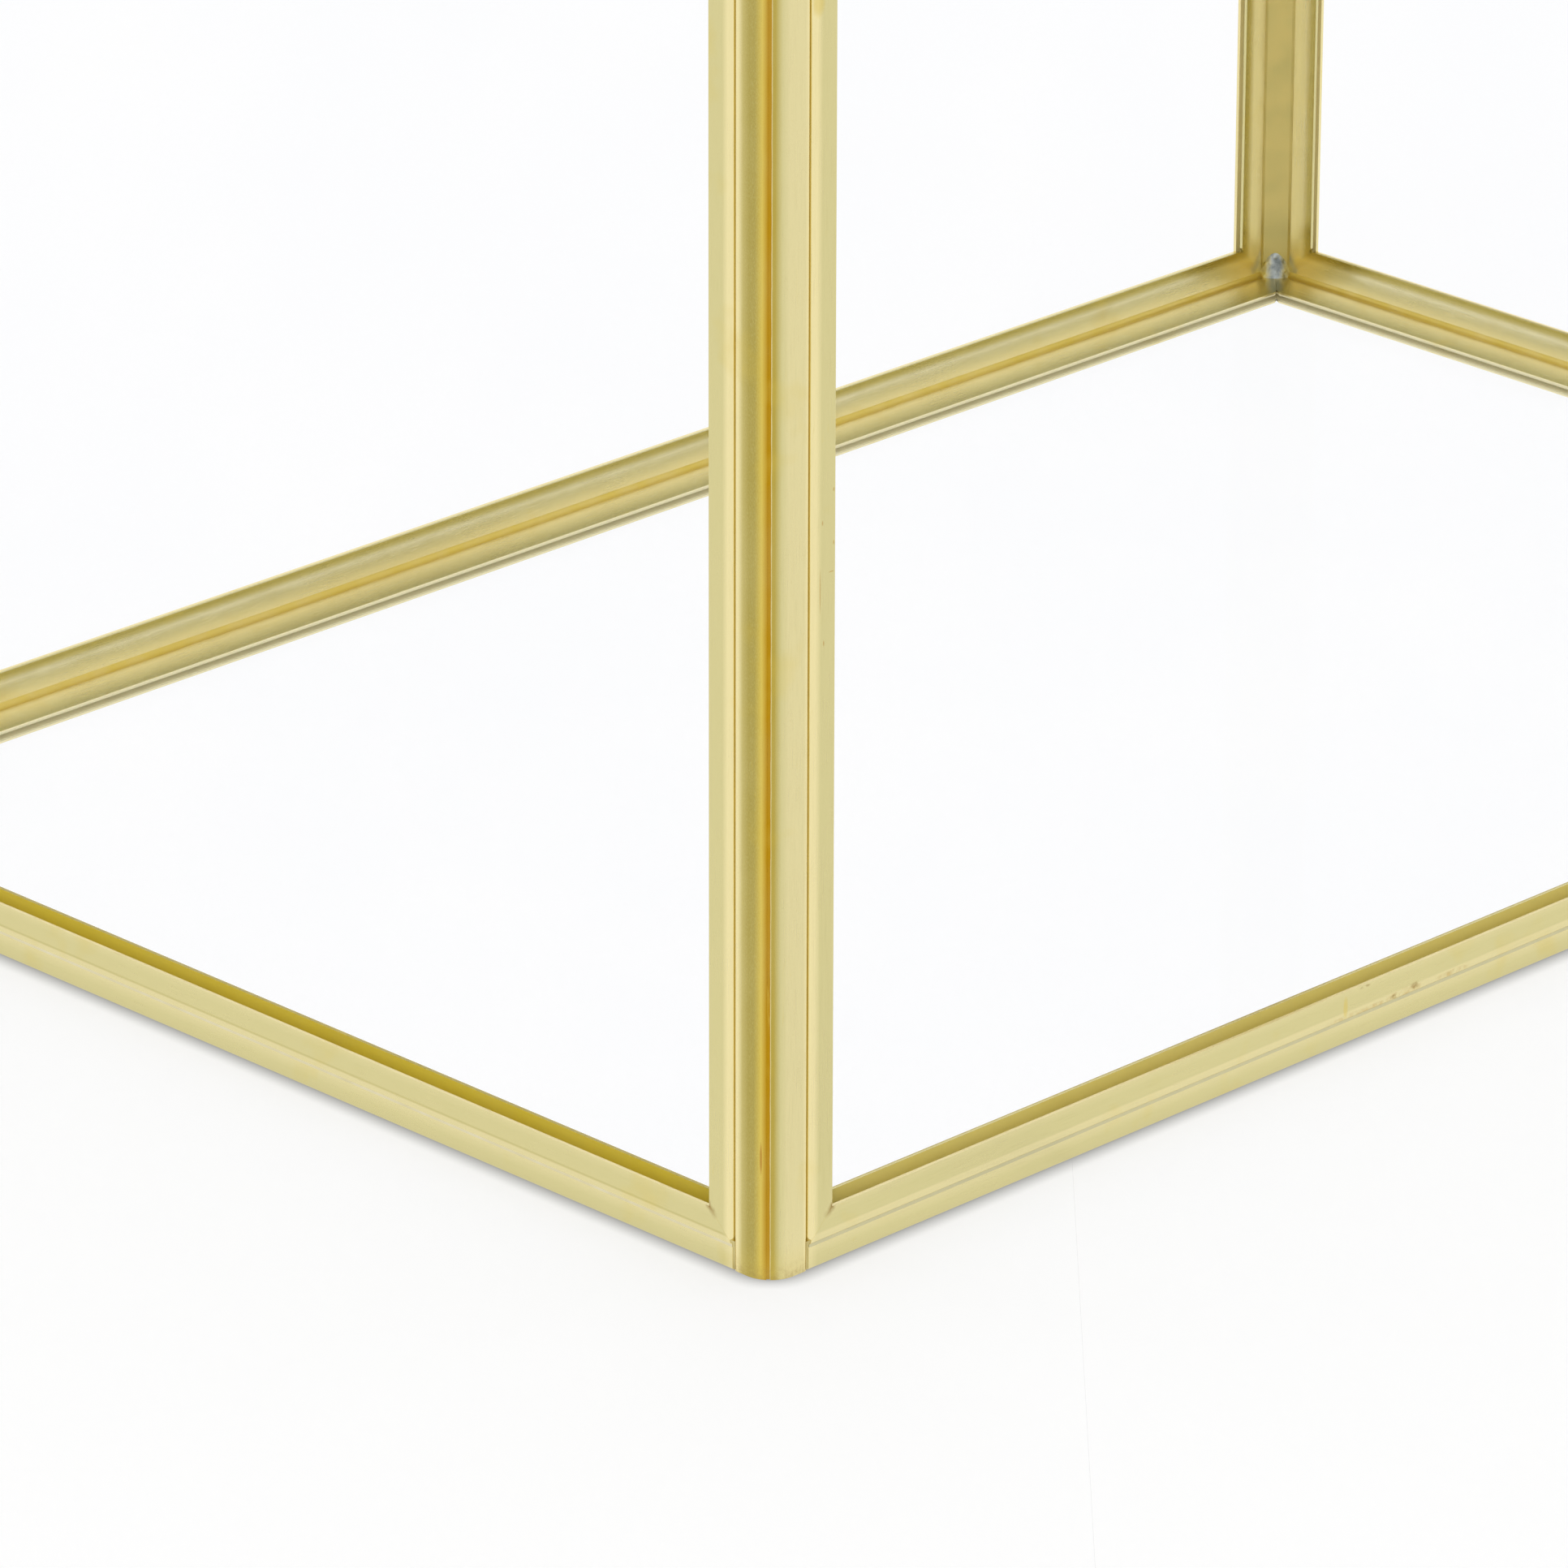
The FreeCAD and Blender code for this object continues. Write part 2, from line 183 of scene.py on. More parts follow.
# Matte tones where channels, base rails and the lid face the glass: painted reflection that stands in for
# what the brass mirrors there, set apart for each side.
MATTE_REFLECTION_LEFT = (0.90, 0.70, 0.05)          # channels where they face the glass
MATTE_REFLECTION_FRONT = (0.93, 0.77, 0.20)
MATTE_REFLECTION_UPRIGHT = (0.97, 0.84, 0.40)
MATTE_REFLECTION_BASE = (0.96, 0.88, 0.55)

# Tones of the solder, and of the glass clean and smudged
SOLDER_DARK = srgb(128, 136, 136)
SOLDER_LIGHT = srgb(196, 202, 200)
# Pale seams on the two ends are a painted highlight along the crease; grey ones are the dark joint.
SEAM_PALE = (srgb(230, 221, 188), srgb(222, 211, 168))
SEAM_GREY = (srgb(204, 197, 156), srgb(214, 206, 162))
SEAM_BROWN = (srgb(212, 198, 138), srgb(194, 176, 112))
GLASS_CLEAN = (0.995, 0.996, 0.999)
GLASS_SMUDGED = (0.999, 0.999, 1.0)


def extent(name, axis):
    """Lowest and highest place of a node along an axis, in millimetres."""
    places = [vertex.co[axis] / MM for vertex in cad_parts[name].data.vertices]
    return min(places), max(places)


def near_face(name, across, axis):
    """The same along axis, only for the part of the node at its lowest face across."""
    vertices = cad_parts[name].data.vertices
    face = min(vertex.co[across] for vertex in vertices) + FACE_SLACK * MM
    places = [vertex.co[axis] / MM for vertex in vertices if vertex.co[across] < face]
    return min(places), max(places)


HALF_X = extent("corner_post_front_left", 0)[0] * -1
HALF_Y = extent("corner_post_front_left", 1)[0] * -1
RIM = extent("corner_post_front_left", 2)[1]
POST_CLEAR = HALF_Y + extent("left_channel_upright_a", 1)[0]
SIDE_BOTTOM, LIP_TOP = extent("front_channel_bottom", 2)
CHANNEL_DEPTH = extent("front_channel_bottom", 1)[1] + HALF_Y
RAIL_TOP = extent("base_rail_front", 2)[1]
LID_BOTTOM, LID_TOP = extent("lid_rail_front", 2)

INNER_LEG = LIP_TOP - SIDE_BOTTOM
OUTER_LEG = near_face("front_channel_bottom", 1, 2)[1] - SIDE_BOTTOM
POST_ROUND = HALF_Y + near_face("corner_post_front_left", 0, 1)[0]

# Grains on the sanded sheet: noise at which one is full, its share and its tone
SAND_GRAINS = ((0.68, 0.22, STRIP), (0.32, 0.2, SCUFF_AND_SHADE))

# Bands of tones: places in millimetres across a post's bend, from the fold of a channel, from the
# outside of the box inwards on the edge of an inner leg, and in from the outside of a base rail
# Painted light round a post's bend: brown dark joints at the seams, cream painted highlights beside them,
# khaki, olive, gold and bronze bands as painted reflections, orange painted shade in the groove, and a
# pale painted highlight on the lapping cut edge.
POST_PAINTED_BANDS = [
    (-3.75, BROWN), (-3.64, BROWN), (-3.54, CREAM), (-3.2, CREAM), (-2.75, KHAKI), (-2.2, OLIVE),
    (-1.65, OLIVE), (-0.95, GOLD), (-0.42, GROOVE), (-0.08, GROOVE), (-0.05, PALE), (-0.02, PALE),
    (0.03, BRONZE), (0.28, BRONZE), (0.55, KHAKI), (0.95, STRIP), (1.6, PALE), (3.1, PALE),
    (3.4, CREAM), (3.56, CREAM), (3.66, BROWN), (3.75, BROWN)]
# Brown dark joint at the seam, then a cream painted highlight along the channel's fold, fading to the
# strip's tone.
FOLD_PAINTED_BANDS = [
    (0.0, BROWN), (0.08, BROWN), (0.17, CREAM), (0.65, CREAM), (1.35, STRIP), (INNER_LEG, STRIP)]
UPRIGHT_INSIDE = [
    (0.0, KHAKI), (0.4, INNER), (2.4, INNER), (INNER_LEG - 0.7, KHAKI), (INNER_LEG, OLIVE)]
LEVEL_INSIDE = [
    (0.0, INNER), (2.6, INNER), (INNER_LEG - 0.7, KHAKI), (INNER_LEG - 0.3, OLIVE), (INNER_LEG, OLIVE)]
LIP_BANDS = [
    (CHANNEL_DEPTH - 0.4, STRIP), (CHANNEL_DEPTH - 0.25, STRIP), (CHANNEL_DEPTH - 0.15, KHAKI),
    (CHANNEL_DEPTH, OLIVE)]
BASE_LEG_BANDS = [(0.0, INNER), (5.0, INNER), (8.0, GREY_GREEN), (8.5, GREY_GREEN), (8.6, INNER)]

# Small pieces of solder, in millimetres
SEAM_OVERLAP = 0.19         # that a pale seam, a painted highlight along the crease, laps up and down over the folds
SEAM_LINE = 0.11            # that a fine one laps up
SEAM_SINK = 0.008           # below the brass
SEAM_CORE = 0.05            # from its middle, that keeps the seam's own tone before it fades into pale brass
FILL_DEPTH = 0.35           # that solder runs in from the face
MITRE_WIDTH = 0.2
MITRE_START = 0.25          # from the fold
CREASE = 0.85               # radius of the run along the inside
CREASE_SEAT = 0.05          # that it is set into the side frame
CREASE_SINK = 0.02          # and into the base rail
CORNER_SEAT = 0.03          # that a corner run is set into the side frames
CORNER_LAP = 0.5            # that it laps over each
CORNER_ROUND = 1.15         # its radius as a share of its width along a side
CORNER_BACK = 0.3           # that it runs in behind
CORNER_END = 0.1            # short of the base and of the rim
POST_WALL = 0.55            # from a post's face to its plug
PLUG_SIDE = 0.3             # short of the ends of the side frames
PLUG_BACK = 0.5             # short of their inner faces
PLUG_DEPTH = 0.8            # from the rim to its underside
PLUG_HEIGHT = 0.5
BUTT_SINK = 0.04            # below the brass
BUTT_DEPTH = 0.5
BUTT_LAP = 0.3              # that it runs into the end of the rail
BUTT_RUN = 0.35             # and in behind the edge of the post
BUTT_FOOT = 0.1             # above the floor
BUTT_RISE = 0.5             # above the foot of the side frame
ARC_STEPS = 8
SHARP_ABOVE = 40.0          # degrees between faces that are shaded apart


class Graph:
    """Shader nodes of one material, put together from sockets and plain numbers."""

    def __init__(self, name):
        self.material = bpy.data.materials.new(name)
        self.material.use_nodes = True
        self.tree = self.material.node_tree
        self.shader = self.tree.nodes["Principled BSDF"]
        coordinates = self.tree.nodes.new("ShaderNodeTexCoord")
        self.place = self.scaled(coordinates.outputs["Object"], (1 / MM, 1 / MM, 1 / MM))
        self.x, self.y, self.z = self.split(self.place)
        self.facing = self.split(coordinates.outputs["Normal"])

    def put(self, value, socket):
        """Link a socket, or set a plain value on it."""
        if isinstance(value, bpy.types.NodeSocket):
            self.tree.links.new(value, socket)
        else:
            socket.default_value = value

    def math(self, operation, first, second=0.0, third=0.0):
        made = self.tree.nodes.new("ShaderNodeMath")
        made.operation = operation
        for value, socket in zip((first, second, third), made.inputs):
            self.put(value, socket)
        return made.outputs[0]

    def scaled(self, vector, factors):
        made = self.tree.nodes.new("ShaderNodeVectorMath")
        made.operation = "MULTIPLY"
        self.put(vector, made.inputs[0])
        self.put(factors, made.inputs[1])
        return made.outputs[0]

    def split(self, vector):
        made = self.tree.nodes.new("ShaderNodeSeparateXYZ")
        self.put(vector, made.inputs[0])
        return made.outputs

    def noise(self, vector, scale, detail=2.0, roughness=0.5):
        made = self.tree.nodes.new("ShaderNodeTexNoise")
        self.put(vector, made.inputs["Vector"])
        self.put(scale, made.inputs["Scale"])
        self.put(detail, made.inputs["Detail"])
        self.put(roughness, made.inputs["Roughness"])
        return made.outputs["Fac"]

    def spread(self, value, low, high, to_low=0.0, to_high=1.0):
        """Carry low..high over to another range, and stop at its ends."""
        made = self.tree.nodes.new("ShaderNodeMapRange")
        for number, socket in zip((value, low, high, to_low, to_high), made.inputs):
            self.put(number, socket)
        return made.outputs[0]

    def mix(self, share, first, second):
        made = self.tree.nodes.new("ShaderNodeMix")
        made.data_type = "RGBA"
        self.put(share, made.inputs[0])
        for value, socket in ((first, made.inputs[6]), (second, made.inputs[7])):
            self.put(value if isinstance(value, bpy.types.NodeSocket) else (*value, 1), socket)
        return made.outputs[2]

    def bands(self, value, stops):
        """Colour that runs through stops of (place, tone)."""
        low = stops[0][0]
        high = stops[-1][0]
        ramp = self.tree.nodes.new("ShaderNodeValToRGB")
        elements = ramp.color_ramp.elements
        elements[0].color = (*stops[0][1], 1)
        elements[1].color = (*stops[-1][1], 1)
        for place, tone in stops[1:-1]:
            elements.new((place - low) / (high - low)).color = (*tone, 1)
        self.put(self.spread(value, low, high), ramp.inputs[0])
        return ramp.outputs[0]

    def between(self, noise, first, second, span=NOISE_SPAN):
        """Colour that a noise carries from one tone to another."""
        return self.bands(noise, list(zip(span, (first, second))))

    def bump(self, height, depth, normal=None):
        """Normal over a height of 0 to 1, which stands for this depth in millimetres."""
        made = self.tree.nodes.new("ShaderNodeBump")
        self.put(depth * MM, made.inputs["Distance"])
        self.put(height, made.inputs["Height"])
        if normal is not None:
            self.put(normal, made.inputs["Normal"])
        return made.outputs[0]


def from_side(graph, axis):
    """How far a point lies in from the box's nearer outer face on an axis."""
    if axis == "x":
        return graph.math("SUBTRACT", HALF_X, graph.math("ABSOLUTE", graph.x))
    return graph.math("SUBTRACT", HALF_Y, graph.math("ABSOLUTE", graph.y))


def grain_stretch(along):
    """Scale that draws noise out along the strip."""
    return tuple(GRAIN_DRAW if axis == along else 1.0 for axis in "xyz")


def finish_brass(graph, tone, along, metal=1.0, speckle=SPECKLE):
    """Rolled and handled: fine lengthwise grain, faint clouds, hairline scratches and specks."""
    drawn = graph.scaled(graph.place, grain_stretch(along))
    grain = graph.noise(drawn, GRAIN_SCALE, 3.0)
    clouds = graph.noise(graph.place, CLOUD_SCALE, 3.0, 0.6)
    specks = graph.noise(graph.place, SPECK_SCALE, 2.0, 0.7)
    hair = graph.noise(drawn, HAIR_SCALE, 1.0)
    hair = graph.math("ABSOLUTE", graph.math("SUBTRACT", hair, 0.5))
    rare = graph.spread(graph.noise(graph.place, RARE_SCALE, 2.0), *RARE)
    scratch = graph.math("MULTIPLY", graph.spread(hair, HAIR_WIDTH, 0.0), rare)

    # Noise, where a tint starts and where it is full, its share and its tone
    tints = (
        (clouds, 0.35, 0.75, 0.08, CREAM),
        (clouds, 0.40, 0.28, 0.25, GOLD),
        (specks, 0.60, 0.78, speckle, BRONZE),
        (grain, 0.55, 0.75, 0.07, OLIVE))
    for noise, start, full, share, mark in tints:
        tone = graph.mix(graph.spread(noise, start, full, 0.0, share), tone, mark)
    tone = graph.mix(graph.math("MULTIPLY", scratch, SCRATCH_SHARE), tone, GOLD)
    graph.put(tone, graph.shader.inputs["Base Color"])
    graph.put(metal, graph.shader.inputs["Metallic"])

    rough = graph.spread(grain, *NOISE_SPAN, *ROUGHNESS)
    rough = graph.math("ADD", rough, graph.spread(clouds, *NOISE_SPAN, 0.0, CLOUD_ROUGHNESS))
    if metal != 1.0:
        rough = graph.math("MAXIMUM", rough, graph.spread(metal, 0.0, 1.0, DULL_ROUGHNESS, 0.0))
    graph.put(rough, graph.shader.inputs["Roughness"])

    dents = graph.bump(graph.noise(graph.place, DENT_SCALE, 1.0), DENT_DEPTH)
    fine = graph.bump(graph.math("ADD", grain, specks), GRAIN_DEPTH, dents)
    unscratched = graph.math("SUBTRACT", 1.0, scratch)
    graph.put(graph.bump(unscratched, SCRATCH_DEPTH, fine), graph.shader.inputs["Normal"])


def worn(graph, tone, along, spots, mark, share=SCUFF_SHARE, broken=True):
    """Marks of a tone over spots of place, height and half sizes, broken up where they are scuffs."""
    ragged = 1.0
    if broken:
        ragged = graph.spread(graph.noise(graph.place, RAGGED_SCALE, 3.0, 0.6), *RAGGED)
    for place, height, half_length, half_height in spots:
        across = graph.math("DIVIDE", graph.math("SUBTRACT", along, place), half_length)
        up = graph.math("DIVIDE", graph.math("SUBTRACT", graph.z, height), half_height)
        far = graph.math("ADD", graph.math("MULTIPLY", across, across), graph.math("MULTIPLY", up, up))
        marked = graph.spread(far, 1.0, SPOT_CORE, 0.0, share)
        tone = graph.mix(graph.math("MULTIPLY", marked, ragged), tone, mark)
    return tone


def bend_tone(graph):
    """Outside of a post: painted reflection bands round the bend, with painted highlights by the seams
    and painted shade in the groove, a brown run on the near one, and the sanded sheet.
    """
    turn = graph.math("SIGN", graph.math("MULTIPLY", graph.x, graph.y))
    across = graph.math("SUBTRACT", from_side(graph, "x"), from_side(graph, "y"))
    across = graph.math("MULTIPLY", graph.math("MULTIPLY", turn, across), DIAGONAL)
    wander = graph.noise(graph.scaled(graph.place, (1, 1, WANDER_DRAW)), WANDER_SCALE, 2.0)
    across = graph.math("ADD", across, graph.spread(wander, *NOISE_SPAN, -EDGE_WANDER, EDGE_WANDER))
    tone = graph.bands(across, POST_PAINTED_BANDS)

    at_left = graph.math("LESS_THAN", graph.x, 0.0)
    at_front = graph.math("LESS_THAN", graph.y, 0.0)
    streaked = worn(graph, tone, across, POST_STREAKS, RUST, broken=False)
    tone = graph.mix(graph.math("MULTIPLY", at_left, at_front), tone, streaked)

    sand = graph.noise(graph.scaled(graph.place, (1, 1, SAND_DRAW)), SAND_SCALE, 3.0, 0.7)
    sanded = graph.math("MULTIPLY", graph.spread(across, *SAND_START), graph.spread(across, *SAND_END))
    for full, share, mark in SAND_GRAINS:
        grains = graph.spread(sand, SAND_MIDDLE, full, 0.0, share)
        tone = graph.mix(graph.math("MULTIPLY", sanded, grains), tone, mark)
    return tone


def post_brass():
    """Corner post: one sheet goes round the bend, and the other's cut edge laps over it. The bands round
    the bend are painted reflection, painted highlight and painted shade.
    """
    graph = Graph("post_brass")
    out_x = graph.math("MULTIPLY", graph.facing[0], graph.math("SIGN", graph.x))
    out_y = graph.math("MULTIPLY", graph.facing[1], graph.math("SIGN", graph.y))
    hollow = graph.math("LESS_THAN", graph.math("ADD", out_x, out_y), INWARD)
    tone = graph.mix(hollow, bend_tone(graph), CORNER_GOLD)
    tone = graph.mix(graph.spread(graph.z, *FOOT_GOLD, 0.0, FOOT_GOLD_SHARE), tone, GOLD)
    # Darker, broken mottling that grows towards the foot of the post.
    mottle = graph.spread(graph.noise(graph.place, FOOT_MOTTLE_SCALE, 4.0, 0.7), *FOOT_MOTTLE_SPAN, 0.0, FOOT_MOTTLE_SHARE)
    tone = graph.mix(graph.math("MULTIPLY", mottle, graph.spread(graph.z, *FOOT_MOTTLE_HEIGHTS)), tone, SCUFF_AND_SHADE)
    finish_brass(graph, tone, "z", speckle=POST_SPECKLE)
    return graph.material


def notch_shade(graph, tone, along, half):
    """Painted shade of the open notch at the lower near corner of a window, with a shadow line down the
    mitre.
    """
    sideways = graph.math("SUBTRACT", along, POST_CLEAR + OUTER_LEG - half)
    up = graph.math("SUBTRACT", graph.z, SIDE_BOTTOM + OUTER_LEG)
    down = graph.math("MULTIPLY", graph.math("ADD", sideways, up), -DIAGONAL)
    off = graph.math("MULTIPLY", graph.math("SUBTRACT", sideways, up), DIAGONAL)
    uneven = graph.noise(graph.place, NOTCH_SHADE_SCALE, 3.0, 0.6)
    uneven = graph.spread(uneven, *NOISE_SPAN, -NOTCH_SHADE_WANDER, NOTCH_SHADE_WANDER)
    off = graph.math("ABSOLUTE", graph.math("ADD", off, uneven))
    share = graph.math("MULTIPLY", graph.spread(off, NOTCH_SHADE_WIDTH, 0.0), graph.spread(down, NOTCH_SHADE_RUN, 0.0))
    share = graph.math("MULTIPLY", share, graph.spread(down, *NOTCH_SHADE_ABOVE))
    return graph.mix(share, tone, SCUFF_AND_SHADE)


def near_wear(graph, tone, depth_axis):
    """Painted shade at the window's corner, and on the front also smears, scuffs, scratches, gold tints
    and a painted glint, on the near one of two sides.
    """
    if depth_axis == "x":
        near = graph.math("LESS_THAN", graph.x, 0.0)
        return graph.mix(near, tone, notch_shade(graph, tone, graph.y, HALF_Y))
    near = graph.math("LESS_THAN", graph.y, 0.0)
    marked = notch_shade(graph, tone, graph.x, HALF_X)
    marked = worn(graph, marked, graph.x, RAIL_SMEARS, TARNISH, SMEAR_SHARE)
    marked = worn(graph, marked, graph.x, RAIL_SCUFFS, SCUFF_AND_SHADE)
    marked = worn(graph, marked, graph.x, UPRIGHT_SCRATCHES, TARNISH, broken=False)
    marked = worn(graph, marked, graph.x, GLINT_AND_GOLD_TINTS, GOLD, SMEAR_SHARE, broken=False)
    return graph.mix(near, tone, marked)


def upright_tones(graph, depth_axis, to_post):
    """Tones of an upright channel: outside, inside and lip. Last, how far a face looks the lip's way."""
    inside = graph.bands(to_post, UPRIGHT_INSIDE)
    inside = graph.mix(graph.spread(graph.z, SIDE_BOTTOM, FLUX_REACH, FLUX_TINT, 0.0), inside, GOLD)
    return graph.bands(to_post, FOLD_PAINTED_BANDS), inside, STRIP, graph.facing[1 if depth_axis == "x" else 0]


def level_tones(graph, depth_axis, to_post, depth):
    """The same for a level channel, at the foot or at the rim."""
    to_fold = graph.math("SUBTRACT", graph.z, SIDE_BOTTOM)
    to_fold = graph.math("MINIMUM", to_fold, graph.math("SUBTRACT", RIM, graph.z))
    line = END_SIDE_LINE if depth_axis == "x" else PALE
    # Paler by the fold and at the lip's top edge: painted highlights. On the two end sides a slightly
    # darker line runs just above the fold. Near the post the outside runs into the fold bands with their
    # painted highlight.
    outside = graph.bands(to_fold, [
        (0.0, PALE), (0.6, PALE), (0.8, line), (1.0, STRIP), (2.3, STRIP), (INNER_LEG, PALE)])
    at_mitre = graph.spread(to_post, *MITRE_TINT, MITRE_SHARE, 0.0)
    outside = graph.mix(at_mitre, outside, graph.bands(to_post, FOLD_PAINTED_BANDS))
    inside = graph.bands(to_fold, LEVEL_INSIDE)
    inside = graph.mix(graph.spread(to_post, 0.0, FLUX_REACH, FLUX_TINT, 0.0), inside, GOLD)
    lip = graph.bands(depth, LIP_BANDS) if depth_axis == "y" else OLIVE
    return outside, inside, lip, graph.facing[2]


def channel_brass(name, depth_axis, along, dull):
    """Narrow channel of a side pane, bright outside with painted highlights on its folds and cut edges;
    where it faces the glass, matte with a painted reflection tone.
    """
    graph = Graph(name)
    depth = from_side(graph, depth_axis)
    to_post = graph.math("SUBTRACT", from_side(graph, OTHER[depth_axis]), POST_CLEAR)
    if along == "z":
        outside, inside, lip, lip_facing = upright_tones(graph, depth_axis, to_post)
    else:
        outside, inside, lip, lip_facing = level_tones(graph, depth_axis, to_post, depth)
    outside = near_wear(graph, outside, depth_axis)
    inner = graph.math("GREATER_THAN", depth, CHANNEL_DEPTH / 2)
    # Cut edges that face along the lip: cream, a painted highlight, on the outer leg; the lip's tone on
    # the inner leg.
    edge = graph.math("GREATER_THAN", graph.math("ABSOLUTE", lip_facing), FACING)
    both = graph.mix(inner, graph.mix(edge, outside, CREAM), graph.mix(edge, inside, lip))
    off_middle = graph.math("ABSOLUTE", graph.math("SUBTRACT", depth, CHANNEL_DEPTH / 2))
    skin = graph.math("GREATER_THAN", off_middle, CHANNEL_DEPTH / 2 - SKIN)
    skin = graph.math("MAXIMUM", skin, edge)
    finish_brass(graph, graph.mix(skin, dull, both), along, metal=skin)
    return graph.material


def base_brass(name, depth_axis):
    """Wide base rail, whose upper leg goes greyer towards its free edge."""
    graph = Graph(name)
    depth = from_side(graph, depth_axis)
    to_post = graph.math("SUBTRACT", from_side(graph, OTHER[depth_axis]), POST_CLEAR)
    # Wall: paler towards the top fold, and cream towards the post: painted highlights.
    wall = graph.bands(graph.z, [(0.0, STRIP), (RAIL_TOP / 2, STRIP), (RAIL_TOP, PALE)])
    wall = graph.mix(graph.spread(to_post, *END_TINT, END_SHARE, 0.0), wall, CREAM)
    leg = graph.bands(depth, BASE_LEG_BANDS)
    leg = graph.mix(graph.spread(to_post, 0.0, FLUX_REACH, FLUX_TINT_BASE, 0.0), leg, GOLD)
    tone = graph.mix(graph.math("LESS_THAN", depth, WALL_SKIN), leg, wall)
    buried = graph.math("GREATER_THAN", depth, BURIED_FROM)
    buried = graph.math("MULTIPLY", buried, graph.math("GREATER_THAN", graph.z, RAIL_SKIN))
    buried = graph.math("MULTIPLY", buried, graph.math("LESS_THAN", graph.z, RAIL_TOP - RAIL_SKIN))
    tone = graph.mix(buried, tone, MATTE_REFLECTION_BASE)
    finish_brass(graph, tone, OTHER[depth_axis], metal=graph.math("SUBTRACT", 1.0, buried))
    return graph.material


def lid_brass(name, along):
    """Frame and slot edging of the lid, matte with a painted reflection tone where the channels hold the
    glass.
    """
    graph = Graph(name)
    held = graph.math("GREATER_THAN", graph.math("ABSOLUTE", graph.facing[2]), FACING)
    held = graph.math("MULTIPLY", held, graph.math("GREATER_THAN", graph.z, LID_BOTTOM + RAIL_SKIN))
    held = graph.math("MULTIPLY", held, graph.math("LESS_THAN", graph.z, LID_TOP - RAIL_SKIN))
    open_tone = graph.between(graph.noise(graph.place, LID_SCALE, 2.0), STRIP, PALE)
    tone = graph.mix(held, open_tone, MATTE_REFLECTION_BASE)
    finish_brass(graph, tone, along, metal=graph.math("SUBTRACT", 1.0, held))
    return graph.material


def hinge_brass():
    """Hinges and lid tab: turned and stamped brass, a little yellower than the strip."""
    graph = Graph("hinge_brass")
    finish_brass(graph, graph.between(graph.noise(graph.place, HINGE_SCALE, 2.0), STRIP, KHAKI), "x")
    return graph.material


def solder_grey():
    """Dull solder, lumpy from the iron, which thins out over the brass at its sides."""
    graph = Graph("solder_grey")
    lumps = graph.noise(graph.place, LUMP_SCALE, 3.0)
    off_corner = graph.math("SUBTRACT", from_side(graph, "x"), from_side(graph, "y"))
    off_corner = graph.math("ABSOLUTE", off_corner)
    wander = graph.spread(lumps, *NOISE_SPAN, -THIN_WANDER, THIN_WANDER)
    off_corner = graph.math("ADD", off_corner, wander)
    grey = graph.between(lumps, SOLDER_DARK, SOLDER_LIGHT)
    tone = graph.mix(graph.spread(off_corner, *THIN), grey, KHAKI)
    graph.put(tone, graph.shader.inputs["Base Color"])
    graph.put(1.0, graph.shader.inputs["Metallic"])
    graph.put(graph.spread(lumps, *NOISE_SPAN, *LUMP_ROUGHNESS), graph.shader.inputs["Roughness"])
    graph.put(graph.bump(lumps, LUMP_DEPTH), graph.shader.inputs["Normal"])
    return graph.material


def seam_solder(name, light, dark, middle=None):
    """Thin line of solder along a seam. Where a height is given, it fades into pale brass around that
    height, a painted highlight along the crease.
    """
    graph = Graph(name)
    patches = graph.noise(graph.place, PATCH_SCALE, 3.0)
    tone = graph.between(patches, light, dark, PATCH_SPAN)
    if middle is not None:
        off = graph.math("ABSOLUTE", graph.math("SUBTRACT", graph.z, middle))
        tone = graph.mix(graph.spread(off, SEAM_CORE, SEAM_OVERLAP), tone, PALE)
    graph.put(tone, graph.shader.inputs["Base Color"])
    graph.put(1.0, graph.shader.inputs["Metallic"])
    graph.put(graph.spread(patches, *NOISE_SPAN, *SEAM_ROUGHNESS), graph.shader.inputs["Roughness"])
    return graph.material


def clear_glass():
    """Clear pane with a weak reflection and faint smudges. It lets the lamps through."""
    graph = Graph("clear_glass")
    nodes = graph.tree.nodes
    nodes.remove(graph.shader)
    smudge = graph.noise(graph.place, SMUDGE_SCALE, 3.0, 0.6)
    through = nodes.new("ShaderNodeBsdfRefraction")
    graph.put(GLASS_IOR, through.inputs["IOR"])
    graph.put(0.0, through.inputs["Roughness"])
    graph.put(graph.between(smudge, GLASS_CLEAN, GLASS_SMUDGED, SMUDGE), through.inputs["Color"])
    shine = nodes.new("ShaderNodeBsdfAnisotropic")
    graph.put((1, 1, 1, 1), shine.inputs["Color"])
    graph.put(graph.spread(smudge, *SMUDGE, 0.0, SMUDGE_ROUGHNESS), shine.inputs["Roughness"])
    fresnel = nodes.new("ShaderNodeFresnel")
    graph.put(GLASS_IOR, fresnel.inputs["IOR"])
    pane = nodes.new("ShaderNodeMixShader")
    graph.put(graph.math("MULTIPLY", fresnel.outputs[0], GLASS_SHINE), pane.inputs[0])
    graph.put(through.outputs[0], pane.inputs[1])
    graph.put(shine.outputs[0], pane.inputs[2])
    path = nodes.new("ShaderNodeLightPath")
    lighting = graph.math("MAXIMUM", path.outputs["Is Shadow Ray"], path.outputs["Is Diffuse Ray"])
    lamp = nodes.new("ShaderNodeMixShader")
    graph.put(lighting, lamp.inputs[0])
    graph.put(pane.outputs[0], lamp.inputs[1])
    graph.put(nodes.new("ShaderNodeBsdfTransparent").outputs[0], lamp.inputs[2])
    graph.put(lamp.outputs[0], nodes["Material Output"].inputs["Surface"])
    return graph.material


